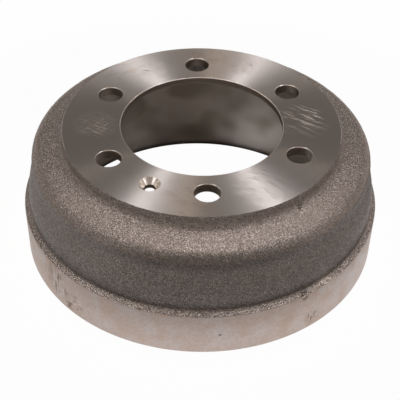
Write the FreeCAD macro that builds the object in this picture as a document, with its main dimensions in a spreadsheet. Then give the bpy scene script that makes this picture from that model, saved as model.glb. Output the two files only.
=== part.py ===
import FreeCAD, Part
import os
import Sketcher

# Rear brake drum of a heavy van: one grey iron casting, then turned and drilled.
# Millimetres. The drum stands on its open end with the wheel's mounting face on top.
# Z is the drum's axis, and the origin is the centre of the open end.

doc = FreeCAD.newDocument("BrakeDrum")

# Driving sizes
SIZES = (
    ("drum_height", 120.0, "open end to mounting face"),
    ("stud_circle_dia", 170.0, "circle through the wheel stud holes"),
    ("stud_hole_dia", 20.0, "wheel stud hole"),
    ("stud_count", 6, "wheel stud holes"),
    ("bore_dia", 130.0, "centre bore over the pilot of the hub"),
    ("screw_hole_dia", 8.5, "hole of the screw that holds the drum on the hub"),
    ("screw_head_dia", 16.8, "mouth of the screw's countersink"),
    ("screw_head_angle", 90.0, "included angle of the countersink, degrees"),
    ("screw_after_count", 3, "whole stud pitches from the rear stud hole to the screw hole"),
    ("face_land", 26.6, "stud circle out to the edge of the mounting face"),
    ("flange_thickness", 7.5, "mounting flange"),
    ("step_depth", 10.2, "wall below the edge of the mounting face"),
    ("step_run", 1.3, "draft of that wall"),
    ("shoulder_angle", 15.0, "fall of the cast shoulder, degrees"),
    ("shoulder_wall", 8.6, "thickness of the cast step and shoulder"),
    ("brake_dia", 254.0, "braking surface"),
    ("waist_wall", 10.5, "braking surface out to the waist"),
    ("waist_height", 13.0, "upright part of the waist"),
    ("belly_swell", 4.9, "waist out to the skirt"),
    ("skirt_height", 13.5, "upright part of the skirt above the ledge"),
    ("ledge_width", 4.6, "skirt out to the turned band"),
    ("ledge_drop", 2.6, "fall of the ledge"),
    ("band_height", 39.0, "turned band"),
    ("lip_height", 13.0, "lip below the band"),
    ("lip_wall", 5.0, "thickness of the lip"),
    ("relief_depth", 1.5, "cast wall back from the braking surface"),
    ("relief_height", 13.0, "cast wall between dome and braking surface"),
    ("step_fillet", 6.0, "root of the wall below the face"),
    ("shoulder_fillet", 10.5, "round of the shoulder"),
    ("waist_fillet", 31.0, "hollow between waist and belly"),
    ("belly_fillet", 40.0, "round between belly and skirt"),
    ("foot_fillet", 2.0, "root of the skirt on the ledge"),
    ("roof_fillet", 5.0, "under the edge of the flange"),
    ("haunch_fillet", 5.0, "inside of the step"),
    ("dome_fillet", 8.0, "under the shoulder"),
    ("lip_fillet", 2.0, "root of the lip"),
    ("band_chamfer", 0.8, "lower edge of the band"),
    ("lip_chamfer", 1.0, "outer edge of the lip"),
    ("mouth_chamfer", 1.5, "mouth of the braking surface"),
    ("pilot_chamfer", 2.5, "lead-in of the bore for the pilot of the hub"),
    ("edge_break", 0.6, "broken edges of the bore's top and the stud holes"),
)
sizes = doc.addObject("Spreadsheet::Sheet", "Sizes")
for row, (alias, value, meaning) in enumerate(SIZES, start=1):
    sizes.set(f"A{row}", meaning)
    sizes.set(f"B{row}", str(value))
    sizes.setAlias(f"B{row}", alias)
doc.recompute()

# Radii of the section, each worked out from the sheet
BORE_R = "Sizes.bore_dia / 2"
STUD_CIRCLE_R = "Sizes.stud_circle_dia / 2"
FACE_R = f"({STUD_CIRCLE_R} + Sizes.face_land)"
STEP_R = f"({FACE_R} + Sizes.step_run)"
BRAKE_R = "Sizes.brake_dia / 2"
RELIEF_R = f"({BRAKE_R} + Sizes.relief_depth)"
LIP_R = f"({BRAKE_R} + Sizes.lip_wall)"
WAIST_R = f"({BRAKE_R} + Sizes.waist_wall)"
SKIRT_R = f"({WAIST_R} + Sizes.belly_swell)"
BAND_R = f"({SKIRT_R} + Sizes.ledge_width)"

# Heights of the outside, from the mounting face down and from the open end up
SLOPE = "tan(Sizes.shoulder_angle * 1 deg)"
FACE_Z = "Sizes.drum_height"
STEP_Z = f"({FACE_Z} - Sizes.step_depth)"
SHOULDER_Z = f"({STEP_Z} - ({WAIST_R} - {STEP_R}) * {SLOPE})"
WAIST_Z = f"({SHOULDER_Z} - Sizes.waist_height)"
BAND_FOOT_Z = "Sizes.lip_height"
BAND_TOP_Z = f"({BAND_FOOT_Z} + Sizes.band_height)"
LEDGE_Z = f"({BAND_TOP_Z} + Sizes.ledge_drop)"
SKIRT_Z = f"({LEDGE_Z} + Sizes.skirt_height)"
OPEN_END_Z = "0"

# The inside of the step and of the shoulder runs along the outside, one wall from it
ROOF_Z = f"({FACE_Z} - Sizes.flange_thickness)"
ROOF_R = f"({FACE_R} - Sizes.shoulder_wall)"
UNDERSIDE_Z = f"({STEP_Z} - Sizes.shoulder_wall / cos(Sizes.shoulder_angle * 1 deg))"
HAUNCH_R = f"({STEP_R} - Sizes.shoulder_wall)"
HAUNCH_Z = f"({UNDERSIDE_Z} + Sizes.shoulder_wall * {SLOPE})"
DOME_Z = f"({UNDERSIDE_Z} - ({RELIEF_R} - {STEP_R}) * {SLOPE})"
RUNOUT_Z = f"({DOME_Z} - Sizes.relief_height)"
TRACK_Z = f"({RUNOUT_Z} - Sizes.relief_depth)"

# Corners of the half section: over the outside from the bore, and back up the inside
SECTION = (
    ("bore_top", BORE_R, FACE_Z),
    ("face_edge", FACE_R, FACE_Z),
    ("step_root", STEP_R, STEP_Z),
    ("shoulder", WAIST_R, SHOULDER_Z),
    ("waist", WAIST_R, WAIST_Z),
    ("belly", SKIRT_R, SKIRT_Z),
    ("foot", SKIRT_R, LEDGE_Z),
    ("band_top", BAND_R, BAND_TOP_Z),
    ("band_foot", BAND_R, BAND_FOOT_Z),
    ("lip_root", LIP_R, BAND_FOOT_Z),
    ("lip_end", LIP_R, OPEN_END_Z),
    ("mouth", BRAKE_R, OPEN_END_Z),
    ("track_top", BRAKE_R, TRACK_Z),
    ("runout", RELIEF_R, RUNOUT_Z),
    ("dome", RELIEF_R, DOME_Z),
    ("haunch", HAUNCH_R, HAUNCH_Z),
    ("roof", ROOF_R, ROOF_Z),
    ("bore_foot", BORE_R, ROOF_Z),
)

# A long fillet takes at most a share of the straight wall beside it.
# A fillet of radius R uses R * tan(turn / 2) of that wall.
SHOULDER_TURN = "tan((90 - Sizes.shoulder_angle) / 2 * 1 deg)"
BELLY_TURN = f"tan(atan(Sizes.belly_swell / ({WAIST_Z} - {SKIRT_Z})) / 2)"
SHOULDER_LIMIT = f"0.62 * Sizes.waist_height / {SHOULDER_TURN}"
WAIST_LIMIT = f"0.3 * Sizes.waist_height / {BELLY_TURN}"
BELLY_LIMIT = f"0.6 * Sizes.skirt_height / {BELLY_TURN}"

FILLETS = (
    ("step_root", "Sizes.step_fillet"),
    ("shoulder", f"min(Sizes.shoulder_fillet; {SHOULDER_LIMIT})"),
    ("waist", f"min(Sizes.waist_fillet; {WAIST_LIMIT})"),
    ("belly", f"min(Sizes.belly_fillet; {BELLY_LIMIT})"),
    ("foot", "Sizes.foot_fillet"),
    ("lip_root", "Sizes.lip_fillet"),
    ("dome", "Sizes.dome_fillet"),
    ("haunch", "Sizes.haunch_fillet"),
    ("roof", "Sizes.roof_fillet"),
)
CHAMFERS = (
    ("band_foot", "Sizes.band_chamfer"),
    ("lip_end", "Sizes.lip_chamfer"),
    ("mouth", "Sizes.mouth_chamfer"),
    ("bore_top", "Sizes.edge_break"),
    ("bore_foot", "Sizes.pilot_chamfer"),
)

FIT_TOLERANCE = 1e-4

body = doc.addObject("PartDesign::Body", "brake_drum")
body.Label = "brake_drum"


def origin_feature(role):
    """Return the plane or axis of the body's own origin that has this role."""
    return next(item for item in body.Origin.OriginFeatures if item.Role == role)


def new_sketch(name, plane):
    """Add a sketch that lies on one of the body's origin planes."""
    sketch = body.newObject("Sketcher::SketchObject", name)
    sketch.AttachmentSupport = [(origin_feature(plane), "")]
    sketch.MapMode = "FlatFace"
    return sketch


def bind(sketch, kind, geometry, value, name, expression):
    """Measure a point of the sketch from its origin and tie that to the sheet."""
    index = sketch.addConstraint(Sketcher.Constraint(kind, -1, 1, *geometry, value))
    sketch.renameConstraint(index, name)
    sketch.setExpression(f"Constraints.{name}", expression)


def draw_section():
    """Draw the half section with every corner tied to the sheet."""
    sketch = new_sketch("section", "XZ_Plane")
    points = []
    for name, radius, height in SECTION:
        r = sizes.evalExpression(radius)
        z = sizes.evalExpression(height)
        points.append(FreeCAD.Vector(r, z, 0))
    count = len(points)
    for i in range(count):
        sketch.addGeometry(Part.LineSegment(points[i], points[(i + 1) % count]), False)
    for i in range(count):
        sketch.addConstraint(Sketcher.Constraint("Coincident", i, 2, (i + 1) % count, 1))
    for i, (name, radius, height) in enumerate(SECTION):
        bind(sketch, "DistanceX", (i, 1), points[i].x, f"{name}_radius", radius)
        if height == OPEN_END_Z:
            sketch.addConstraint(Sketcher.Constraint("PointOnObject", i, 1, -1))
        else:
            bind(sketch, "DistanceY", (i, 1), points[i].y, f"{name}_height", height)
    doc.recompute()
    return sketch


def turn_casting(sketch):
    """Revolve the half section about the drum's axis."""
    casting = body.newObject("PartDesign::Revolution", "casting")
    casting.Profile = sketch
    casting.ReferenceAxis = (sketch, ["V_Axis"])
    casting.Angle = 360
    body.Tip = casting
    doc.recompute()
    return casting


def ring_edge(shape, radius, height):
    """Name the circular edge round the axis with this radius and height."""
    for number, edge in enumerate(shape.Edges, start=1):
        curve = edge.Curve
        if not isinstance(curve, Part.Circle):
            continue
        off_axis = abs(curve.Center.x) + abs(curve.Center.y)
        off_ring = abs(curve.Radius - radius) + abs(curve.Center.z - height)
        if off_axis + off_ring < FIT_TOLERANCE:
            return f"Edge{number}"
    raise RuntimeError(f"no ring of radius {radius} at height {height}")


def dress_corner(kind, base, sketch, corner, size_name, expression):
    """Fillet or chamfer the ring that one corner of the section has swept."""
    index = [name for name, radius, height in SECTION].index(corner)
    point = sketch.Geometry[index].StartPoint
    feature = body.newObject(f"PartDesign::{kind}", f"{corner}_{kind.lower()}")
    feature.Base = (base, [ring_edge(base.Shape, point.x, point.y)])
    feature.setExpression(size_name, expression)
    body.Tip = feature
    doc.recompute()
    return feature


def place_on_face(sketch, x_expression, y_expression, diameter_expression):
    """Lift a hole's sketch to the mounting face and draw its circle there."""
    sketch.setExpression("AttachmentOffset.Base.z", FACE_Z)
    x = sizes.evalExpression(x_expression)
    y = sizes.evalExpression(y_expression)
    radius = sizes.evalExpression(diameter_expression) / 2
    centre = FreeCAD.Vector(x, y, 0)
    sketch.addGeometry(Part.Circle(centre, FreeCAD.Vector(0, 0, 1), radius), False)
    bind(sketch, "DistanceX", (0, 3), x, "across", x_expression)
    bind(sketch, "DistanceY", (0, 3), y, "along", y_expression)
    index = sketch.addConstraint(Sketcher.Constraint("Diameter", 0, radius * 2))
    sketch.renameConstraint(index, "hole_dia")
    sketch.setExpression("Constraints.hole_dia", diameter_expression)
    doc.recompute()


def drill(name, sketch, diameter, mouth, mouth_angle):
    """Drill through the flange and widen the mouth to a cone."""
    hole = body.newObject("PartDesign::Hole", name)
    hole.Profile = sketch
    doc.recompute()
    hole.DepthType = "ThroughAll"
    hole.setExpression("Diameter", diameter)
    hole.HoleCutType = "Countersink"
    hole.HoleCutCustomValues = True
    hole.setExpression("HoleCutDiameter", mouth)
    hole.setExpression("HoleCutCountersinkAngle", mouth_angle)
    body.Tip = hole
    doc.recompute()
    return hole


def drill_stud_holes():
    """Drill the rear stud hole and repeat it round the stud circle."""
    sketch = new_sketch("stud_hole_place", "XY_Plane")
    place_on_face(sketch, "0", STUD_CIRCLE_R, "Sizes.stud_hole_dia")
    mouth = "Sizes.stud_hole_dia + 2 * Sizes.edge_break"
    hole = drill("stud_hole", sketch, "Sizes.stud_hole_dia", mouth, "90")
    ring = body.newObject("PartDesign::PolarPattern", "stud_holes")
    ring.Originals = [hole]
    ring.Axis = (origin_feature("Z_Axis"), [""])
    ring.Angle = 360
    ring.setExpression("Occurrences", "Sizes.stud_count")
    body.Tip = ring
    doc.recompute()
    return ring


def drill_screw_hole():
    """Drill the countersunk screw hole midway between two stud holes."""
    turn = "((Sizes.screw_after_count + 0.5) * 360 / Sizes.stud_count * 1 deg)"
    across = f"{STUD_CIRCLE_R} * sin({turn})"
    along = f"{STUD_CIRCLE_R} * cos({turn})"
    sketch = new_sketch("screw_hole_place", "XY_Plane")
    place_on_face(sketch, across, along, "Sizes.screw_hole_dia")
    mouth = "Sizes.screw_head_dia"
    return drill("screw_hole", sketch, "Sizes.screw_hole_dia", mouth, "Sizes.screw_head_angle")


def check_document():
    """Stop if any object failed, and return the finished shape."""
    doc.recompute()
    for item in doc.Objects:
        for state in ("Invalid", "Error"):
            if state in item.State:
                raise RuntimeError(f"{item.Name} is {state}")
    shape = body.Shape
    if shape.isNull() or not shape.isValid():
        raise RuntimeError("the drum's shape is not valid")
    if len(shape.Solids) != 1:
        raise RuntimeError("the drum is not one solid")
    return shape


section = draw_section()
tip = turn_casting(section)
for corner, radius in FILLETS:
    tip = dress_corner("Fillet", tip, section, corner, "Radius", radius)
for corner, width in CHAMFERS:
    tip = dress_corner("Chamfer", tip, section, corner, "Size", width)
volume_before_drilling = tip.Shape.Volume
drill_stud_holes()
drill_screw_hole()

drum = check_document()
if drum.Volume >= volume_before_drilling:
    raise RuntimeError("the holes cut nothing")
os.makedirs("parts", exist_ok=True)
drum.exportStep(os.path.join("parts", f"{body.Label}.step"))
box = drum.optimalBoundingBox()
print(f"volume {drum.Volume / 1000:.1f} cm3")
print(f"box {box.XLength:.2f} x {box.YLength:.2f} x {box.ZLength:.2f} mm from z {box.ZMin:.2f}")
print(f"faces {len(drum.Faces)}")
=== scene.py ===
import math

import bmesh
import bpy
from mathutils import Euler, Matrix, Vector, noise


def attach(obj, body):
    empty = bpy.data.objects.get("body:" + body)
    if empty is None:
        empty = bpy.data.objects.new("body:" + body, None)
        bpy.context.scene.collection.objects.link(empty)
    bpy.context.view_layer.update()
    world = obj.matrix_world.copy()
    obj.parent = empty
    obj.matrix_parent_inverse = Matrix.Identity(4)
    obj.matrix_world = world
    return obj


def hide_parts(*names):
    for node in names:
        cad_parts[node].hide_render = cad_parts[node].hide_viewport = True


# Brake drum: grey iron, sand cast, then turned on its mounting face, band, lip and braking surface.
# Metres. The drum stands on its open end, its axis is Z and the mounting face is on top.

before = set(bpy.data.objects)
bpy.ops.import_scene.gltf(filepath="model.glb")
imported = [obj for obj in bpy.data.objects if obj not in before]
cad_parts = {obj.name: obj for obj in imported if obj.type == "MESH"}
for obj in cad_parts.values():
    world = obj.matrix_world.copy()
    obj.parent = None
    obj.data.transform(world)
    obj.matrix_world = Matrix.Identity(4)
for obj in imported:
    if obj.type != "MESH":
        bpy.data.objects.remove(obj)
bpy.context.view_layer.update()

MM = 0.001

# Sizes of the drum in millimetres: radii from its axis, and heights over its open end
DRUM_HEIGHT = 120.0
FLANGE_UNDERSIDE = 112.5
BORE_R = 65.0
FACE_R = 111.6
STUD_COUNT = 6
STUD_CIRCLE_R = 85.0
STUD_HOLE_R = 10.0
# The rounded mouth of a stud hole: out from the wall of the hole, and down from the face
MOUTH_ROUND = ((0, 0.75), (0.18, 0.3), (0.5, 0.03))
SCREW_ANGLE = math.radians(-120)
SCREW_HOLE_R = 4.25
SCREW_HEAD_R = 8.4

# The sand-cast outside, from the step under the face down to the ledge over the band
STEP_R = 112.9
STEP_FOOT = 109.8
SHOULDER_R = 137.5
SHOULDER_SLOPE = math.radians(15)
WAIST_HEIGHT = 13.0
BELLY_R = 142.4
BELLY_TOP = 68.1
LEDGE_ROOT = 54.6
CAST_WALL = 8.6

# The turned band, and the lip under it
BAND_R = 146.95
BAND_TOP = 52.0
BAND_FOOT = 13.0
LIP_R = 132.0

# The inside: braking surface, run-out over it, dome and roof
TRACK_R = 127.0
RUNOUT_R = 128.5
RUNOUT_RISE = 1.5
HAUNCH_R = 104.3
ROOF_R = 103.0


def shoulder_height(radius):
    """Height of the sloping shoulder over this radius, in millimetres."""
    return STEP_FOOT - (radius - STEP_R) * math.tan(SHOULDER_SLOPE)


def dome_height(radius):
    """Height of the dome inside, which runs parallel to the shoulder, in millimetres."""
    return shoulder_height(radius) - CAST_WALL / math.cos(SHOULDER_SLOPE)


SHOULDER_TOP = shoulder_height(SHOULDER_R)
RUNOUT_TOP = dome_height(RUNOUT_R) - WAIST_HEIGHT

# Corners of the half section: radius, height, and how the corner is eased.
# "round" is a fillet radius and "cut" is a chamfer's width.
OUTLINE = (
    ("bore_top", BORE_R, DRUM_HEIGHT, "round", 0.6),
    ("face_edge", FACE_R, DRUM_HEIGHT, "round", 0.3),
    ("step_root", STEP_R, STEP_FOOT, "round", 6.0),
    ("shoulder", SHOULDER_R, SHOULDER_TOP, "round", 10.5),
    ("waist", SHOULDER_R, SHOULDER_TOP - WAIST_HEIGHT, "round", 31.0),
    ("belly", BELLY_R, BELLY_TOP, "round", 40.0),
    ("foot", BELLY_R, LEDGE_ROOT, "round", 2.0),
    ("band_top", BAND_R, BAND_TOP, "cut", 0.25),
    ("band_foot", BAND_R, BAND_FOOT, "cut", 0.8),
    ("lip_root", LIP_R, BAND_FOOT, "round", 2.0),
    ("lip_end", LIP_R, 0.0, "cut", 1.0),
    ("mouth", TRACK_R, 0.0, "cut", 1.5),
    ("track_top", TRACK_R, RUNOUT_TOP - RUNOUT_RISE, "cut", 0.1),
    ("runout", RUNOUT_R, RUNOUT_TOP, "cut", 0.1),
    ("dome", RUNOUT_R, dome_height(RUNOUT_R), "round", 8.0),
    ("haunch", HAUNCH_R, dome_height(HAUNCH_R), "round", 5.0),
    ("roof", ROOF_R, FLANGE_UNDERSIDE, "round", 5.0),
    ("bore_foot", BORE_R, FLANGE_UNDERSIDE, "cut", 2.5),
)

# How fine the mesh is: steps round the drum and round each kind of hole, then the length of a step
# along the section in millimetres, on the cast skin and elsewhere, and the fewest steps of a fillet
SPIN_STEPS = 720
STUD_HOLE_STEPS = 96
SCREW_HOLE_STEPS = 72
CAST_PITCH = 1.25
INSIDE_PITCH = 3.0
LEAST_STEPS = 3
# Points nearer than this, in metres, are one point. It is less after drilling, which leaves thin faces
SAME_POINT = 1e-6
SAME_DRILLED_POINT = 1e-7


def bevel(shape, corner, offset, segments):
    """Ease one corner of the section: one segment cuts it and more segments round it."""
    bmesh.ops.bevel(
        shape, geom=[corner], offset=offset, offset_type="OFFSET", segments=segments,
        profile=0.5, affect="VERTICES", material=-1, clamp_overlap=False,
    )


def half_section():
    """Draw the half section as a closed loop of edges in the XZ plane, with eased corners."""
    shape = bmesh.new()
    corners = [shape.verts.new((r * MM, 0, z * MM)) for name, r, z, kind, size in OUTLINE]
    points = [v.co.copy() for v in corners]
    count = len(corners)
    for i in range(count):
        shape.edges.new((corners[i], corners[(i + 1) % count]))
    for i, (name, r, z, kind, size) in enumerate(OUTLINE):
        if kind == "cut":
            bevel(shape, corners[i], size * MM, 1)
            continue
        turn = (points[i] - points[i - 1]).angle(points[(i + 1) % count] - points[i])
        pitch = CAST_PITCH if on_cast_skin(points[i]) else INSIDE_PITCH
        segments = max(LEAST_STEPS, math.ceil(size * turn / pitch))
        bevel(shape, corners[i], size * MM * math.tan(turn / 2), segments)
    for edge in list(shape.edges):
        a, b = (v.co for v in edge.verts)
        if on_cast_skin(a) and on_cast_skin(b):
            cuts = math.ceil((a - b).length / (CAST_PITCH * MM)) - 1
            if cuts > 0:
                bmesh.ops.subdivide_edges(shape, edges=[edge], cuts=cuts)
    return shape


def on_cast_skin(point):
    """True on the outside between the mounting face and the turned band."""
    radius, height = math.hypot(point.x, point.y), point.z
    if height < BAND_TOP * MM - SAME_POINT or radius < FACE_R * MM - SAME_POINT:
        return False
    # The inside is what lies below and within the middle of the wall
    mid_wall = (shoulder_height(radius / MM) + dome_height(radius / MM)) / 2 * MM
    inside = radius < (RUNOUT_R + SHOULDER_R) / 2 * MM and height < mid_wall
    return not inside


def turned_blank():
    """Spin the half section once round the drum's axis."""
    shape = half_section()
    loop = list(shape.verts) + list(shape.edges)
    # An eighth is spun and then doubled three times, which is much quicker than one long spin
    shares = (8, 4, 2)
    bmesh.ops.spin(
        shape, geom=loop, cent=(0, 0, 0), axis=(0, 0, 1), dvec=(0, 0, 0),
        angle=math.tau / shares[0], steps=SPIN_STEPS // shares[0], use_merge=False,
    )
    for share in shares:
        everything = list(shape.verts) + list(shape.edges) + list(shape.faces)
        copied = bmesh.ops.duplicate(shape, geom=everything)["geom"]
        copied = [item for item in copied if isinstance(item, bmesh.types.BMVert)]
        onwards = Matrix.Rotation(math.tau / share, 3, "Z")
        bmesh.ops.rotate(shape, verts=copied, cent=(0, 0, 0), matrix=onwards)
        bmesh.ops.remove_doubles(shape, verts=shape.verts, dist=SAME_POINT)
    bmesh.ops.recalc_face_normals(shape, faces=shape.faces)
    return shape


def cutter(shape, centre, points, steps):
    """Add a drill's form to the mesh: the points are radius and height, from the foot to the top."""
    ring = [shape.verts.new((centre.x + r * MM, centre.y, z * MM)) for r, z in points]
    edges = [shape.edges.new(pair) for pair in zip(ring, ring[1:])]
    bmesh.ops.spin(
        shape, geom=ring + edges, cent=(centre.x, centre.y, 0), axis=(0, 0, 1), dvec=(0, 0, 0),
        angle=math.tau, steps=steps, use_merge=True,
    )


def on_stud_circle(angle):
    """Place on the stud circle, in metres."""
    return Vector((STUD_CIRCLE_R * MM * math.cos(angle), STUD_CIRCLE_R * MM * math.sin(angle), 0))


FIRST_STUD = math.radians(90)
STUD_PLACES = [on_stud_circle(FIRST_STUD + math.tau * i / STUD_COUNT) for i in range(STUD_COUNT)]
SCREW_PLACE = on_stud_circle(SCREW_ANGLE)


def drills():
    """All the drills as one mesh: six for the studs, and one with a countersink for the screw."""
    shape = bmesh.new()
    # The drills stand clear of the flange below and above, and widen on their way up out of the face
    below, above, flare = 6, 2, 3
    low, high = FLANGE_UNDERSIDE - below, DRUM_HEIGHT + above
    for place in STUD_PLACES:
        points = [(0, low), (STUD_HOLE_R, low)]
        points += [(STUD_HOLE_R + out, DRUM_HEIGHT - down) for out, down in MOUTH_ROUND]
        points += [(STUD_HOLE_R + flare, high), (0, high)]
        cutter(shape, place, points, STUD_HOLE_STEPS)
    cone_foot = DRUM_HEIGHT - (SCREW_HEAD_R - SCREW_HOLE_R)
    points = [(0, low), (SCREW_HOLE_R, low), (SCREW_HOLE_R, cone_foot)]
    points += [(SCREW_HEAD_R + above, high), (0, high)]
    cutter(shape, SCREW_PLACE, points, SCREW_HOLE_STEPS)
    bmesh.ops.remove_doubles(shape, verts=shape.verts, dist=SAME_POINT)
    bmesh.ops.recalc_face_normals(shape, faces=shape.faces)
    return shape


def as_object(shape, name):
    """Turn a bmesh into an object at the origin."""
    mesh = bpy.data.meshes.new(name)
    shape.to_mesh(mesh)
    shape.free()
    piece = bpy.data.objects.new(name, mesh)
    bpy.context.scene.collection.objects.link(piece)
    return piece


def drilled_blank():
    """Drill the blank and return its mesh."""
    blank = as_object(turned_blank(), "drum_blank")
    tool = as_object(drills(), "drum_drills")
    cut = blank.modifiers.new("drill", "BOOLEAN")
    cut.operation = "DIFFERENCE"
    cut.solver = "MANIFOLD"
    cut.object = tool
    bpy.context.view_layer.update()
    graph = bpy.context.evaluated_depsgraph_get()
    mesh = bpy.data.meshes.new_from_object(blank.evaluated_get(graph))
    bpy.data.objects.remove(blank)
    bpy.data.objects.remove(tool)
    return mesh


# Small damage that the photograph shows: azimuth in degrees, height, width across and depth in mm
DENTS = (
    (-53.0, 110.5, 3.5, 0.45),
    (-54.5, 109.5, 3.0, -0.25),
    (-60.4, 51.5, 3.0, 0.5),
)
# The moulding sand's print on the skin: how far apart its lumps lie and how high they are, in mm
SAND_PRINT = ((9, 0.12), (2.8, 0.10))


def sand_skin(point):
    """How far the moulding sand's print lifts the skin here."""
    return sum(noise.noise(point / (spacing * MM)) * rise * MM for spacing, rise in SAND_PRINT)


# The print grows over this width from a turned edge, in metres, after this share of the width
FADE_WIDTH = 1.5 * MM
FADE_START = 0.35


def roughen(shape):
    """Give the cast skin its uneven print, which fades out at the turned edges."""
    shape.normal_update()
    moves = []
    for vert in shape.verts:
        if not on_cast_skin(vert.co):
            continue
        radius = math.hypot(vert.co.x, vert.co.y)
        from_face = math.hypot(radius - FACE_R * MM, vert.co.z - DRUM_HEIGHT * MM)
        from_band = math.hypot(radius - BAND_R * MM, vert.co.z - BAND_TOP * MM)
        fade = min(1.0, max(0.0, min(from_face, from_band) / FADE_WIDTH - FADE_START))
        lift = sand_skin(vert.co) * fade
        for azimuth, height, width, depth in DENTS:
            angle = math.radians(azimuth)
            heart = Vector((radius * math.cos(angle), radius * math.sin(angle), height * MM))
            near = 1 - (vert.co - heart).length / (width * MM)
            if near > 0:
                lift -= depth * MM * near * near * (3 - 2 * near)
        moves.append((vert, vert.normal * lift))
    for vert, move in moves:
        vert.co += move


FINISHES = ("turned_face", "sand_cast_skin", "turned_band", "bored_wall", "drilled_hole", "broken_edge")
CAST = FINISHES.index("sand_cast_skin")

# Where one finish ends and the next begins, in millimetres
ROUNDED_DEPTH = 0.82
FACED_DEPTH = 0.7
HOLE_MARGIN = 1
RIM_WIDTH = 0.4
BAND_INSIDE_R = 146
DOME_INSIDE_R = 100
DOME_FOOT, DOME_TOP = 84, 112.4
# Painted highlight: the face's rim takes the pale broken-edge finish only on both sides of the drum, where
# the lamps catch it: middle and reach along Y, in millimetres
HIGHLIT_RIM_MIDDLE, HIGHLIT_RIM_REACH = 12, 42
# Machined faces that meet at more than this angle keep a crease between them
SHARPEST_SMOOTH = math.radians(20)
# A face whose normal rises less than the first stands upright, and one past the second lies level
UPRIGHT, LEVEL = 0.15, 0.99


def finish_of(face):
    """Name the finish of a face from where it lies on the drum."""
    centre = face.calc_center_median()
    rise = face.normal.z
    radius = math.hypot(centre.x, centre.y)
    leans = UPRIGHT < rise < LEVEL
    rounded = leans and centre.z > (DRUM_HEIGHT - ROUNDED_DEPTH) * MM
    for place in STUD_PLACES:
        from_hole = math.hypot(centre.x - place.x, centre.y - place.y)
        if from_hole < (STUD_HOLE_R + HOLE_MARGIN) * MM and rise < LEVEL:
            return "broken_edge" if rounded else "drilled_hole"
    from_screw = math.hypot(centre.x - SCREW_PLACE.x, centre.y - SCREW_PLACE.y)
    if from_screw < SCREW_HEAD_R * MM and rise < LEVEL:
        return "broken_edge" if leans else "drilled_hole"
    in_bore = radius < (BORE_R + HOLE_MARGIN) * MM
    at_rim = radius > (FACE_R - RIM_WIDTH) * MM
    # Painted highlight: the pale edge finish on the face's rim only at both sides
    if rounded and (in_bore or at_rim and abs(centre.y - HIGHLIT_RIM_MIDDLE * MM) < HIGHLIT_RIM_REACH * MM):
        return "broken_edge"
    if in_bore and rise < UPRIGHT:
        return "drilled_hole"
    if on_cast_skin(centre):
        return "sand_cast_skin"
    if centre.z > (DRUM_HEIGHT - FACED_DEPTH) * MM:
        return "turned_face"
    if radius > BAND_INSIDE_R * MM or centre.z < BAND_FOOT * MM and radius > RUNOUT_R * MM:
        return "turned_band"
    if radius > DOME_INSIDE_R * MM and DOME_FOOT * MM < centre.z < DOME_TOP * MM:
        return "sand_cast_skin"
    return "bored_wall"


def make_drum(materials):
    """The drilled casting with its finishes, its creases at machined corners and its rough skin."""
    mesh = drilled_blank()
    shape = bmesh.new()
    shape.from_mesh(mesh)
    bpy.data.meshes.remove(mesh)
    bmesh.ops.remove_doubles(shape, verts=shape.verts, dist=SAME_DRILLED_POINT)
    shape.normal_update()
    for face in shape.faces:
        face.material_index = FINISHES.index(finish_of(face))
        face.smooth = True
    for edge in shape.edges:
        if len(edge.link_faces) != 2:
            continue
        both_cast = all(face.material_index == CAST for face in edge.link_faces)
        edge.smooth = both_cast or edge.calc_face_angle() < SHARPEST_SMOOTH
    roughen(shape)
    drum = as_object(shape, "drum_casting")
    for name in FINISHES:
        drum.data.materials.append(materials[name])
    return drum


def linear(code):
    """Linear colour of an sRGB hex value."""
    channels = [int(code[i:i + 2], 16) / 255 for i in (1, 3, 5)]
    return [c / 12.92 if c <= 0.04045 else ((c + 0.055) / 1.055) ** 2.4 for c in channels] + [1.0]


# Sockets of the node that mixes two colours, which share their names with its other sockets
FACTOR, UNDER, OVER, MIXED = 0, 6, 7, 2


def per_metre(millimetres):
    """Texture scale for a pattern whose features are this far apart."""
    return 1000.0 / millimetres


def add(tree, kind, settings=None, inputs=None):
    """Add one node with its settings, its values and what feeds it."""
    made = tree.nodes.new(kind)
    for name, value in (settings or {}).items():
        setattr(made, name, value)
    for key, value in (inputs or {}).items():
        if isinstance(value, bpy.types.NodeSocket):
            tree.links.new(value, made.inputs[key])
        else:
            made.inputs[key].default_value = value
    return made


def new_material(name):
    """An empty material, its node tree and the place on the object, in metres, that its patterns read."""
    material = bpy.data.materials.new(name)
    material.use_nodes = True
    tree = material.node_tree
    tree.nodes.clear()
    return material, tree, add(tree, "ShaderNodeTexCoord").outputs["Object"]


# How soft the edge of a mark is in its noise, and the share of a patch's reach that is at full strength
MARK_SOFTNESS = 0.1
FULL_WITHIN = 0.45


def marks_in_patch(tree, place, patch):
    """Short marks that lie one way in a round patch, 0 to 1."""
    centre, heading, reach, size, least = patch
    turned = add(tree, "ShaderNodeMapping", {"vector_type": "TEXTURE"},
                 {"Vector": place, "Location": [c * MM for c in centre],
                  "Rotation": (0, 0, math.radians(heading)), "Scale": [c * MM for c in size]})
    lines = add(tree, "ShaderNodeTexNoise", None,
                {"Vector": turned.outputs[0], "Scale": 1.0, "Detail": 2.0, "Roughness": 0.6})
    lines = add(tree, "ShaderNodeMapRange", None,
                {"Value": lines.outputs["Fac"], "From Min": least, "From Max": least + MARK_SOFTNESS,
                 "To Min": 0.0, "To Max": 1.0})
    apart = add(tree, "ShaderNodeVectorMath", {"operation": "DISTANCE"},
                {0: place, 1: [c * MM for c in centre]})
    fade = add(tree, "ShaderNodeMapRange", None,
               {"Value": apart.outputs["Value"], "From Min": reach * FULL_WITHIN * MM,
                "From Max": reach * MM, "To Min": 1.0, "To Max": 0.0})
    kept = add(tree, "ShaderNodeMath", {"operation": "MULTIPLY"}, {0: lines.outputs[0], 1: fade.outputs[0]})
    return kept.outputs[0]


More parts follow.
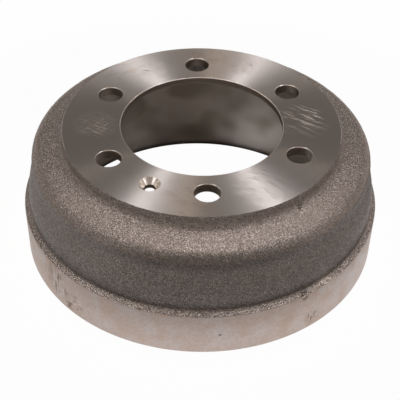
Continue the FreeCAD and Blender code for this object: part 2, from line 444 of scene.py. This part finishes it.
def all_marks(tree, place, patches):
    """The marks of several patches together, 0 to 1."""
    total = 0.0
    for patch in patches:
        marks = marks_in_patch(tree, place, patch)
        total = add(tree, "ShaderNodeMath", {"operation": "MAXIMUM"}, {0: total, 1: marks}).outputs[0]
    return total


# Patches of marks: centre, heading in degrees, reach, and the size of a mark, all in mm,
# then the least noise that shows as a mark, which is lower where the marks crowd.
FACE_SCRATCHES = (
    ((-85, 1, 120), -28, 20, (14, 2.2, 9), 0.48),
    ((-85, 3, 120), 48, 18, (10, 2.0, 9), 0.48),
    ((82, 2, 120), -33, 25, (24, 3.8, 9), 0.47),
    ((41, -80, 120), -30, 24, (16, 0.9, 9), 0.57),
    ((40, 82, 120), -60, 14, (9, 0.8, 9), 0.53),
    ((-38, 80, 120), -25, 13, (9, 0.8, 9), 0.55),
    ((-16, -90, 120), -40, 22, (14, 1.0, 9), 0.57),
)
FACE_SMUDGES = (
    ((-18, -92, 120), -20, 30, (14, 7, 9), 0.5),
    ((-60, 78, 120), 35, 24, (20, 6, 9), 0.5),
    ((12, 96, 120), 0, 20, (9, 9, 9), 0.5),
)
BAND_STAINS = (
    ((-117.5, -88.5, 36), -53, 20, (2.2, 6, 14), 0.52),
    ((-105, -102.5, 24), -46, 14, (7, 6, 4), 0.52),
    ((81, -122.5, 25), 33, 9, (1.5, 6, 4), 0.5),
    ((8, -146.8, 32.6), 0, 1.6, (9, 9, 9), 0.2),
    ((73.3, -127.4, 50.5), 33, 4, (2, 2, 2), 0.4),
)
# Painted shade: dark colour laid into two of the dents
PAINTED_PIT_SHADE = (
    ((69.2, -91.8, 110.2), 37, 3, (3, 1.5, 2), 0.46),
    ((72.6, -126.5, 53), 38, 5, (4, 1.2, 1.5), 0.46),
)
SKIN_SCARS = (
    ((71, -95.5, 109.3), 37, 4, (2, 2, 2), 0.5),
    ((89.1, -114, 53.3), 38, 16, (5, 0.8, 0.8), 0.48),
)


def sand_cast_skin():
    """Grey iron, cast and shot blasted: a dull brown-grey skin whose fine pits sparkle in strong light,
    helped by painted glints.
    """
    material, tree, place = new_material("sand_cast_skin")
    # Real moulding sand is about 0.3 mm, too fine to show, so its pits are drawn nearly twice as coarse
    pits = add(tree, "ShaderNodeTexVoronoi", None, {"Vector": place, "Scale": per_metre(0.55)})
    facet = add(tree, "ShaderNodeSeparateColor", None, {0: pits.outputs["Color"]})
    patch = add(tree, "ShaderNodeTexNoise", None,
                {"Vector": place, "Scale": per_metre(22), "Detail": 2.0})
    # The pale facets are paler still on the narrow ledge over the band
    height = add(tree, "ShaderNodeSeparateXYZ", None, {0: place})
    ledge_mask = add(tree, "ShaderNodeMapRange", None,
                 {"Value": height.outputs["Z"], "From Min": 53.6 * MM, "From Max": 54.8 * MM,
                  "To Min": 1.0, "To Max": 0.0})
    light = add(tree, "ShaderNodeMix", {"data_type": "RGBA"},
                {FACTOR: ledge_mask.outputs[0], UNDER: linear("#bab2ae"), OVER: linear("#c9c3c0")})
    # Most facets stay dull and a few are pale: random grain that also stands in for glints, as painted
    # highlights
    sparkle = add(tree, "ShaderNodeMath", {"operation": "POWER"}, {0: facet.outputs[0], 1: 2.0})
    skin = add(tree, "ShaderNodeMix", {"data_type": "RGBA"},
               {FACTOR: sparkle.outputs[0], UNDER: linear("#6a625f"), OVER: light.outputs[MIXED]})
    tone = add(tree, "ShaderNodeMapRange", None,
               {"Value": patch.outputs["Fac"], "From Min": 0.3, "From Max": 0.7,
                "To Min": 0.0, "To Max": 0.25})
    skin = add(tree, "ShaderNodeMix", {"data_type": "RGBA"},
               {FACTOR: tone.outputs[0], UNDER: skin.outputs[MIXED], OVER: linear("#78706c")})
    # Painted shade: the skin in the hollow of the waist is darkened at the front, where shade falls
    painted_waist_shade = add(tree, "ShaderNodeMath", {"operation": "SUBTRACT"}, {0: height.outputs["Z"], 1: 96.5 * MM})
    painted_waist_shade = add(tree, "ShaderNodeMath", {"operation": "ABSOLUTE"}, {0: painted_waist_shade.outputs[0]})
    painted_waist_shade = add(tree, "ShaderNodeMapRange", None,
                 {"Value": painted_waist_shade.outputs[0], "From Min": 3 * MM, "From Max": 8 * MM,
                  "To Min": 0.36, "To Max": 0.0})
    front = add(tree, "ShaderNodeMapRange", None,
                {"Value": height.outputs["Y"], "From Min": -112 * MM, "From Max": -130 * MM,
                 "To Min": 0.0, "To Max": 1.0})
    painted_waist_shade = add(tree, "ShaderNodeMath", {"operation": "MULTIPLY"},
                 {0: painted_waist_shade.outputs[0], 1: front.outputs[0]})
    skin = add(tree, "ShaderNodeMix", {"data_type": "RGBA"},
               {FACTOR: painted_waist_shade.outputs[0], UNDER: skin.outputs[MIXED], OVER: linear("#2e2926")})
    # Pale scars, then painted shade in the dents
    for patches, colour in ((SKIN_SCARS, "#b3a9a4"), (PAINTED_PIT_SHADE, "#3a3330")):
        marks = all_marks(tree, place, patches)
        skin = add(tree, "ShaderNodeMix", {"data_type": "RGBA"},
                   {FACTOR: marks, UNDER: skin.outputs[MIXED], OVER: linear(colour)})
    rough = add(tree, "ShaderNodeMapRange", None,
                {"Value": facet.outputs[1], "From Min": 0.0, "From Max": 1.0,
                 "To Min": 0.40, "To Max": 0.24})
    grains = add(tree, "ShaderNodeTexNoise", None,
                 {"Vector": place, "Scale": per_metre(1.1), "Detail": 1.0})
    bump = add(tree, "ShaderNodeBump", None,
               {"Strength": 1.0, "Distance": 0.28 * MM, "Height": grains.outputs["Fac"]})
    bump = add(tree, "ShaderNodeBump", None,
               {"Strength": 1.0, "Distance": 0.16 * MM, "Height": pits.outputs["Distance"],
                "Normal": bump.outputs[0]})
    body = add(tree, "ShaderNodeBsdfPrincipled", None,
               {"Base Color": skin.outputs[MIXED], "Metallic": 0.85, "Roughness": rough.outputs[0],
                "Normal": bump.outputs[0]})
    add(tree, "ShaderNodeOutputMaterial", None, {"Surface": body.outputs[0]})
    return material


# How far a scratch turns the metal's grain from the rings' own, as the tangent of the angle
SCRATCH_TURN = 0.6


def turned_face():
    """Grey iron faced on a lathe: fine rings about the axis that stretch each light into a wedge."""
    material, tree, place = new_material("turned_face")
    flat = add(tree, "ShaderNodeVectorMath", {"operation": "MULTIPLY"}, {0: place, 1: (1, 1, 0)})
    outward = add(tree, "ShaderNodeVectorMath", {"operation": "NORMALIZE"}, {0: flat.outputs[0]})
    radius = add(tree, "ShaderNodeVectorMath", {"operation": "LENGTH"}, {0: flat.outputs[0]})
    # A scratch crosses the rings at an angle, so it throws its light to another side than they do
    scratches = all_marks(tree, place, FACE_SCRATCHES)
    across = add(tree, "ShaderNodeVectorMath", {"operation": "CROSS_PRODUCT"},
                 {0: (0, 0, SCRATCH_TURN), 1: outward.outputs[0]})
    grooves = add(tree, "ShaderNodeVectorMath", {"operation": "MULTIPLY_ADD"},
                  {0: scratches, 1: across.outputs[0], 2: outward.outputs[0]})
    tangent = add(tree, "ShaderNodeVectorTransform",
                  {"vector_type": "VECTOR", "convert_from": "OBJECT", "convert_to": "WORLD"},
                  {0: grooves.outputs[0]})
    # Real tool marks are about 0.2 mm apart, too fine to show, so the rings are drawn at 1.2 mm
    rings = add(tree, "ShaderNodeTexNoise", {"noise_dimensions": "1D"},
                {"W": radius.outputs["Value"], "Scale": per_metre(1.2), "Detail": 3.0, "Roughness": 0.7})
    cloud = add(tree, "ShaderNodeTexNoise", None,
                {"Vector": place, "Scale": per_metre(18), "Detail": 4.0, "Roughness": 0.6})
    metal = add(tree, "ShaderNodeMix", {"data_type": "RGBA"},
                {FACTOR: cloud.outputs["Fac"], UNDER: linear("#a5a1a0"), OVER: linear("#b4b0af")})
    rough = add(tree, "ShaderNodeMapRange", None,
                {"Value": cloud.outputs["Fac"], "From Min": 0.3, "From Max": 0.7,
                 "To Min": 0.45, "To Max": 0.51})
    smudges = all_marks(tree, place, FACE_SMUDGES)
    smudges = add(tree, "ShaderNodeMath", {"operation": "MULTIPLY"}, {0: smudges, 1: 0.24})
    metal = add(tree, "ShaderNodeMix", {"data_type": "RGBA"},
                {FACTOR: smudges.outputs[0], UNDER: metal.outputs[MIXED], OVER: linear("#8f7d68")})
    metal = add(tree, "ShaderNodeMix", {"data_type": "RGBA"},
                {FACTOR: scratches, UNDER: metal.outputs[MIXED], OVER: linear("#cbc5c2")})
    bump = add(tree, "ShaderNodeBump", None,
               {"Strength": 0.15, "Distance": 0.05 * MM, "Height": rings.outputs["Fac"]})
    body = add(tree, "ShaderNodeBsdfPrincipled", None,
               {"Base Color": metal.outputs[MIXED], "Metallic": 1.0, "Roughness": rough.outputs[0],
                "Anisotropic": 1.0, "Tangent": tangent.outputs[0], "Normal": bump.outputs[0]})
    add(tree, "ShaderNodeOutputMaterial", None, {"Surface": body.outputs[0]})
    return material


def turned_band():
    """Grey iron turned on the outside of the rim: a soft pale sheen with faint stains."""
    material, tree, place = new_material("turned_band")
    cloud = add(tree, "ShaderNodeTexNoise", None,
                {"Vector": place, "Scale": per_metre(16), "Detail": 5.0, "Roughness": 0.65})
    tint = add(tree, "ShaderNodeMapRange", None,
               {"Value": cloud.outputs["Fac"], "From Min": 0.38, "From Max": 0.62,
                "To Min": 0.0, "To Max": 1.0})
    metal = add(tree, "ShaderNodeMix", {"data_type": "RGBA"},
                {FACTOR: tint.outputs[0], UNDER: linear("#cab5a8"), OVER: linear("#cbbeba")})
    # Faint pale runs down the band, then fine dull specks
    wash = add(tree, "ShaderNodeMapping", {"vector_type": "TEXTURE"},
               {"Vector": place, "Scale": (4 * MM, 4 * MM, 30 * MM)})
    wash = add(tree, "ShaderNodeTexNoise", None,
               {"Vector": wash.outputs[0], "Scale": 1.0, "Detail": 3.0, "Roughness": 0.6})
    wash = add(tree, "ShaderNodeMapRange", None,
               {"Value": wash.outputs["Fac"], "From Min": 0.5, "From Max": 0.75,
                "To Min": 0.0, "To Max": 0.25})
    metal = add(tree, "ShaderNodeMix", {"data_type": "RGBA"},
                {FACTOR: wash.outputs[0], UNDER: metal.outputs[MIXED], OVER: linear("#c9bdb4")})
    grain = add(tree, "ShaderNodeTexNoise", None,
                {"Vector": place, "Scale": per_metre(2), "Detail": 2.0, "Roughness": 0.7})
    grain = add(tree, "ShaderNodeMapRange", None,
                {"Value": grain.outputs["Fac"], "From Min": 0.35, "From Max": 0.65,
                 "To Min": 0.0, "To Max": 0.3})
    metal = add(tree, "ShaderNodeMix", {"data_type": "RGBA"},
                {FACTOR: grain.outputs[0], UNDER: metal.outputs[MIXED], OVER: linear("#8f8179")})
    stains = all_marks(tree, place, BAND_STAINS)
    stains = add(tree, "ShaderNodeMath", {"operation": "MULTIPLY"}, {0: stains, 1: 0.8})
    metal = add(tree, "ShaderNodeMix", {"data_type": "RGBA"},
                {FACTOR: stains.outputs[0], UNDER: metal.outputs[MIXED], OVER: linear("#6e5f54")})
    rough = add(tree, "ShaderNodeMapRange", None,
                {"Value": cloud.outputs["Fac"], "From Min": 0.3, "From Max": 0.7,
                 "To Min": 0.5, "To Max": 0.4})
    bump = add(tree, "ShaderNodeBump", None,
               {"Strength": 0.3, "Distance": 0.05 * MM, "Height": cloud.outputs["Fac"]})
    body = add(tree, "ShaderNodeBsdfPrincipled", None,
               {"Base Color": metal.outputs[MIXED], "Metallic": 1.0, "Roughness": rough.outputs[0],
                "Normal": bump.outputs[0]})
    add(tree, "ShaderNodeOutputMaterial", None, {"Surface": body.outputs[0]})
    return material


def bored_wall():
    """Grey iron bored on a lathe: rings round the wall that draw each light out into an upright streak."""
    material, tree, place = new_material("bored_wall")
    upright = add(tree, "ShaderNodeVectorTransform",
                  {"vector_type": "VECTOR", "convert_from": "OBJECT", "convert_to": "WORLD"}, {0: (0, 0, 1)})
    cloud = add(tree, "ShaderNodeTexNoise", None,
                {"Vector": place, "Scale": per_metre(34), "Detail": 1.0})
    patch = add(tree, "ShaderNodeMapRange", None,
                {"Value": cloud.outputs["Fac"], "From Min": 0.4, "From Max": 0.6,
                 "To Min": 0.0, "To Max": 1.0})
    metal = add(tree, "ShaderNodeMix", {"data_type": "RGBA"},
                {FACTOR: patch.outputs[0], UNDER: linear("#a39a90"), OVER: linear("#cbc3bc")})
    # Painted shade: the wall goes dark just above the open end
    height = add(tree, "ShaderNodeSeparateXYZ", None, {0: place})
    foot = add(tree, "ShaderNodeMapRange", None,
               {"Value": height.outputs["Z"], "From Min": 2 * MM, "From Max": 7 * MM,
                "To Min": 0.85, "To Max": 0.0})
    metal = add(tree, "ShaderNodeMix", {"data_type": "RGBA"},
                {FACTOR: foot.outputs[0], UNDER: metal.outputs[MIXED], OVER: linear("#2b2521")})
    body = add(tree, "ShaderNodeBsdfPrincipled", None,
               {"Base Color": metal.outputs[MIXED], "Metallic": 1.0, "Roughness": 0.4,
                "Anisotropic": 0.9, "Tangent": upright.outputs[0]})
    add(tree, "ShaderNodeOutputMaterial", None, {"Surface": body.outputs[0]})
    return material


def drilled_hole():
    """Grey iron drilled: a dull wall that stays dark in the shade of its own hole."""
    material, tree, place = new_material("drilled_hole")
    cloud = add(tree, "ShaderNodeTexNoise", None,
                {"Vector": place, "Scale": per_metre(5), "Detail": 3.0, "Roughness": 0.6})
    metal = add(tree, "ShaderNodeMix", {"data_type": "RGBA"},
                {FACTOR: cloud.outputs["Fac"], UNDER: linear("#a2978e"), OVER: linear("#b5aaa2")})
    body = add(tree, "ShaderNodeBsdfPrincipled", None,
               {"Base Color": metal.outputs[MIXED], "Metallic": 1.0, "Roughness": 0.38})
    add(tree, "ShaderNodeOutputMaterial", None, {"Surface": body.outputs[0]})
    return material


def broken_edge():
    """Edge where the machined faces meet, eased by hand: a smooth bright line that catches the lamps."""
    material, tree, place = new_material("broken_edge")
    wear = add(tree, "ShaderNodeTexNoise", None,
               {"Vector": place, "Scale": per_metre(4), "Detail": 3.0, "Roughness": 0.7})
    metal = add(tree, "ShaderNodeMix", {"data_type": "RGBA"},
                {FACTOR: wear.outputs["Fac"], UNDER: linear("#c4bdb8"), OVER: linear("#e2dcd8")})
    rough = add(tree, "ShaderNodeMapRange", None,
                {"Value": wear.outputs["Fac"], "From Min": 0.3, "From Max": 0.7,
                 "To Min": 0.42, "To Max": 0.25})
    body = add(tree, "ShaderNodeBsdfPrincipled", None,
               {"Base Color": metal.outputs[MIXED], "Metallic": 1.0, "Roughness": rough.outputs[0]})
    add(tree, "ShaderNodeOutputMaterial", None, {"Surface": body.outputs[0]})
    return material


drum = make_drum({
    "turned_face": turned_face(),
    "sand_cast_skin": sand_cast_skin(),
    "turned_band": turned_band(),
    "bored_wall": bored_wall(),
    "drilled_hole": drilled_hole(),
    "broken_edge": broken_edge(),
})
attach(drum, "root")
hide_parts("brake_drum")


# Painted light: the table glows white in these zones, for reflections only
# What the drum's metal sees of the table, in metres from the axis. The near zone starts at the drum's
# own shadow. The far zone, which the belly mirrors, is an oval that lies nearer at the sides than in front.
NEAR_ZONE_START = (0.13, 0.16)
NEAR_ZONE_END = (0.185, 0.215)
FAR_ZONE_START = (0.24, 0.34)
FAR_ZONE_OVAL = (1, 0.6, 0)
FAR_ZONE_WHITE = 0.8
# Two pools of light painted on the table inside the drum, under the bore: centre, reach and how white the
# middle is
PAINTED_BORE_POOLS = (((0.034, 0.085, 0), 0.032, 1.0), ((-0.03, 0.089, 0), 0.022, 0.35))
# Painted shade and light: left of the drum the table is painted a little dimmer near it and brighter farther
# out: stretch of X, and tone
LEFT_PAINTED_SHADE = (-0.16, -0.05, 0.8)
LEFT_PAINTED_LIGHT = (-0.2, -0.12, 0.3)
# A painted shadow: the ring of table that is darkened as if in the drum's shade, seen in its waist and above
# its ledge
PAINTED_SHADOW_RING_R = 0.27
PAINTED_SHADOW_RING_EDGE = (0.06, 0.12)


def white_in_mirror(tree, place, from_axis):
    """How white the table is painted for the drum's metal at each place, and how much of its far zone is
    there.
    """
    start = add(tree, "ShaderNodeMapRange", None,
                {"Value": from_axis, "From Min": NEAR_ZONE_START[0], "From Max": NEAR_ZONE_START[1],
                 "To Min": 0.0, "To Max": 1.0})
    end = add(tree, "ShaderNodeMapRange", None,
              {"Value": from_axis, "From Min": NEAR_ZONE_END[0], "From Max": NEAR_ZONE_END[1],
               "To Min": 1.0, "To Max": 0.0})
    white = add(tree, "ShaderNodeMath", {"operation": "MULTIPLY"}, {0: start.outputs[0], 1: end.outputs[0]})
    oval = add(tree, "ShaderNodeVectorMath", {"operation": "MULTIPLY"}, {0: place, 1: FAR_ZONE_OVAL})
    oval = add(tree, "ShaderNodeVectorMath", {"operation": "LENGTH"}, {0: oval.outputs[0]})
    far = add(tree, "ShaderNodeMapRange", None,
              {"Value": oval.outputs["Value"], "From Min": FAR_ZONE_START[0], "From Max": FAR_ZONE_START[1],
               "To Min": 0.0, "To Max": FAR_ZONE_WHITE})
    white = add(tree, "ShaderNodeMath", {"operation": "MAXIMUM"}, {0: white.outputs[0], 1: far.outputs[0]})
    # Painted pools of light under the bore
    for heart, reach, most in PAINTED_BORE_POOLS:
        pool = add(tree, "ShaderNodeVectorMath", {"operation": "DISTANCE"}, {0: place, 1: heart})
        pool = add(tree, "ShaderNodeMapRange", None,
                   {"Value": pool.outputs["Value"], "From Min": 0.0, "From Max": reach,
                    "To Min": most, "To Max": 0.0})
        white = add(tree, "ShaderNodeMath", {"operation": "MAXIMUM"},
                    {0: white.outputs[0], 1: pool.outputs[0]})
    # Painted shade near the drum on its left, and painted light farther out
    side = add(tree, "ShaderNodeSeparateXYZ", None, {0: place})
    dim = add(tree, "ShaderNodeMapRange", None,
              {"Value": side.outputs["X"], "From Min": LEFT_PAINTED_SHADE[0], "From Max": LEFT_PAINTED_SHADE[1],
               "To Min": LEFT_PAINTED_SHADE[2], "To Max": 1.0})
    white = add(tree, "ShaderNodeMath", {"operation": "MULTIPLY"}, {0: white.outputs[0], 1: dim.outputs[0]})
    left = add(tree, "ShaderNodeMapRange", None,
               {"Value": side.outputs["X"], "From Min": LEFT_PAINTED_LIGHT[0], "From Max": LEFT_PAINTED_LIGHT[1],
                "To Min": LEFT_PAINTED_LIGHT[2], "To Max": 0.0})
    white = add(tree, "ShaderNodeMath", {"operation": "MAXIMUM"}, {0: white.outputs[0], 1: left.outputs[0]})
    return white.outputs[0], far.outputs[0]


def seen_white(tree, in_mirror):
    """White for the camera, and as white as given for the drum's metal, from 0 to 1."""
    path = add(tree, "ShaderNodeLightPath")
    mirrored = add(tree, "ShaderNodeMath", {"operation": "MAXIMUM"},
                   {0: path.outputs["Is Glossy Ray"], 1: path.outputs["Is Transmission Ray"]})
    mirrored = add(tree, "ShaderNodeMath", {"operation": "MULTIPLY"}, {0: mirrored.outputs[0], 1: in_mirror})
    seen = add(tree, "ShaderNodeMath", {"operation": "MAXIMUM"},
               {0: mirrored.outputs[0], 1: path.outputs["Is Camera Ray"]})
    return seen.outputs[0]


def studio_floor():
    """White table top: nearly white to the eye, with the drum's own shadow kept; in reflections it carries
    painted light and a painted shadow.
    """
    shape = bmesh.new()
    just_below = Matrix.Translation((0, 0, -0.2 * MM))
    bmesh.ops.create_grid(shape, x_segments=1, y_segments=1, size=3.0, matrix=just_below)
    floor = as_object(shape, "studio_floor")
    material, tree, place = new_material("white_table")
    from_axis = add(tree, "ShaderNodeVectorMath", {"operation": "LENGTH"}, {0: place}).outputs["Value"]
    in_mirror, far = white_in_mirror(tree, place, from_axis)
    # A trace of plain paper is left in the white, so that the drum's shadow still shows on it
    share = add(tree, "ShaderNodeMath", {"operation": "MULTIPLY"}, {0: seen_white(tree, in_mirror), 1: 0.98})
    # Painted shadow: the paper goes dark in a ring round the drum
    shade = add(tree, "ShaderNodeMath", {"operation": "SUBTRACT"}, {0: from_axis, 1: PAINTED_SHADOW_RING_R})
    shade = add(tree, "ShaderNodeMath", {"operation": "ABSOLUTE"}, {0: shade.outputs[0]})
    shade = add(tree, "ShaderNodeMapRange", None,
                {"Value": shade.outputs[0], "From Min": PAINTED_SHADOW_RING_EDGE[0], "From Max": PAINTED_SHADOW_RING_EDGE[1],
                 "To Min": 0.0, "To Max": 1.0})
    pale = add(tree, "ShaderNodeMix", {"data_type": "RGBA"},
               {FACTOR: shade.outputs[0], UNDER: linear("#303030"), OVER: linear("#e6e6e6")})
    paper = add(tree, "ShaderNodeBsdfDiffuse", None, {"Color": pale.outputs[MIXED]})
    # Painted warm light: metal sees the far table glow warm
    path = add(tree, "ShaderNodeLightPath")
    warm = add(tree, "ShaderNodeMath", {"operation": "MULTIPLY"}, {0: far, 1: path.outputs["Is Glossy Ray"]})
    glow = add(tree, "ShaderNodeMix", {"data_type": "RGBA"},
               {FACTOR: warm.outputs[0], UNDER: linear("#ffffff"), OVER: linear("#f7e2d2")})
    white = add(tree, "ShaderNodeEmission", None, {"Color": glow.outputs[MIXED], "Strength": 1.0})
    both = add(tree, "ShaderNodeMixShader", None,
               {0: share.outputs[0], 1: paper.outputs[0], 2: white.outputs[0]})
    add(tree, "ShaderNodeOutputMaterial", None, {"Surface": both.outputs[0]})
    floor.data.materials.append(material)


def studio_room():
    """White backdrop to the eye. Metal sees it only just above the table, and a dim warm room over that."""
    world = bpy.data.worlds.new("studio")
    bpy.context.scene.world = world
    world.use_nodes = True
    tree = world.node_tree
    tree.nodes.clear()
    way = add(tree, "ShaderNodeTexCoord").outputs["Generated"]
    rise = add(tree, "ShaderNodeSeparateXYZ", None, {0: way})
    low = add(tree, "ShaderNodeMapRange", None,
              {"Value": rise.outputs["Z"], "From Min": 0.0, "From Max": 0.1,
               "To Min": 1.0, "To Max": 0.0})
    room = add(tree, "ShaderNodeMix", {"data_type": "RGBA"},
               {FACTOR: seen_white(tree, low.outputs[0]), UNDER: linear("#9b9289"), OVER: linear("#ffffff")})
    light = add(tree, "ShaderNodeBackground", None, {"Color": room.outputs[MIXED], "Strength": 1.0})
    add(tree, "ShaderNodeOutputWorld", None, {"Surface": light.outputs[0]})


# Where every lamp looks: the drum's axis, a little under the face
MIDDLE = Vector((0, 0, 0.1))


def softbox(name, place, size, watts, colour, along):
    """Area light that looks at the drum, with its length laid along the way given."""
    data = bpy.data.lights.new(name, "AREA")
    data.shape = "RECTANGLE"
    data.size, data.size_y = size
    data.energy = watts
    data.color = linear(colour)[:3]
    lamp = bpy.data.objects.new(name, data)
    bpy.context.scene.collection.objects.link(lamp)
    lamp.location = place
    back = (Vector(place) - MIDDLE).normalized()
    across = Vector(along).cross(back).normalized()
    lamp.rotation_euler = Matrix((across, back.cross(across), back)).transposed().to_euler()


# The place, the turn in degrees and the lens that line up the photograph's six stud holes and rims
CAMERA_PLACE = (-0.03918, -0.63310, 0.59241)
CAMERA_TURN = (48.8741, -0.9109, -2.7327)
CAMERA_LENS = 88.57
FILM_WIDTH = 36


def photo_camera():
    """The photograph's own camera."""
    data = bpy.data.cameras.new("photo_camera")
    data.sensor_width = FILM_WIDTH
    data.lens = CAMERA_LENS
    seen_from = bpy.data.objects.new("photo_camera", data)
    bpy.context.scene.collection.objects.link(seen_from)
    seen_from.location = CAMERA_PLACE
    seen_from.rotation_euler = Euler([math.radians(angle) for angle in CAMERA_TURN], "XYZ")
    bpy.context.scene.camera = seen_from


# Name, place, width and length in metres, watts, colour, and the way in which the length is laid
NEUTRAL, WARM, AMBER = "#fffaf8", "#fff0e0", "#ffe0bf"
SOFTBOXES = (
    ("left_softbox", (-0.44, 0.24, 1.46), (0.16, 1.5), 5.6, NEUTRAL, (-0.49, -0.87, 0)),
    ("right_softbox", (0.59, 0.24, 1.40), (0.16, 1.5), 6.3, NEUTRAL, (0.49, -0.87, 0)),
    ("ceiling", (-0.12, 0.03, 1.55), (0.12, 1.7), 1.35, AMBER, (-0.16, -0.99, 0)),
    ("front_left", (-1.0, -0.65, 1.1), (0.25, 0.4), 1.8, NEUTRAL, (0, 0, 1)),
    ("front_right", (1.0, -0.65, 1.1), (0.25, 0.4), 1.8, NEUTRAL, (0, 0, 1)),
    ("side_left", (-1.27, 0.30, 0.8), (0.1, 0.4), 0.7, WARM, (0, 0, 1)),
    ("side_right", (1.27, 0.36, 0.8), (0.1, 0.4), 0.7, WARM, (0, 0, 1)),
)

studio_floor()
studio_room()
for lamp in SOFTBOXES:
    softbox(*lamp)
photo_camera()
bpy.context.scene.view_settings.view_transform = "Standard"
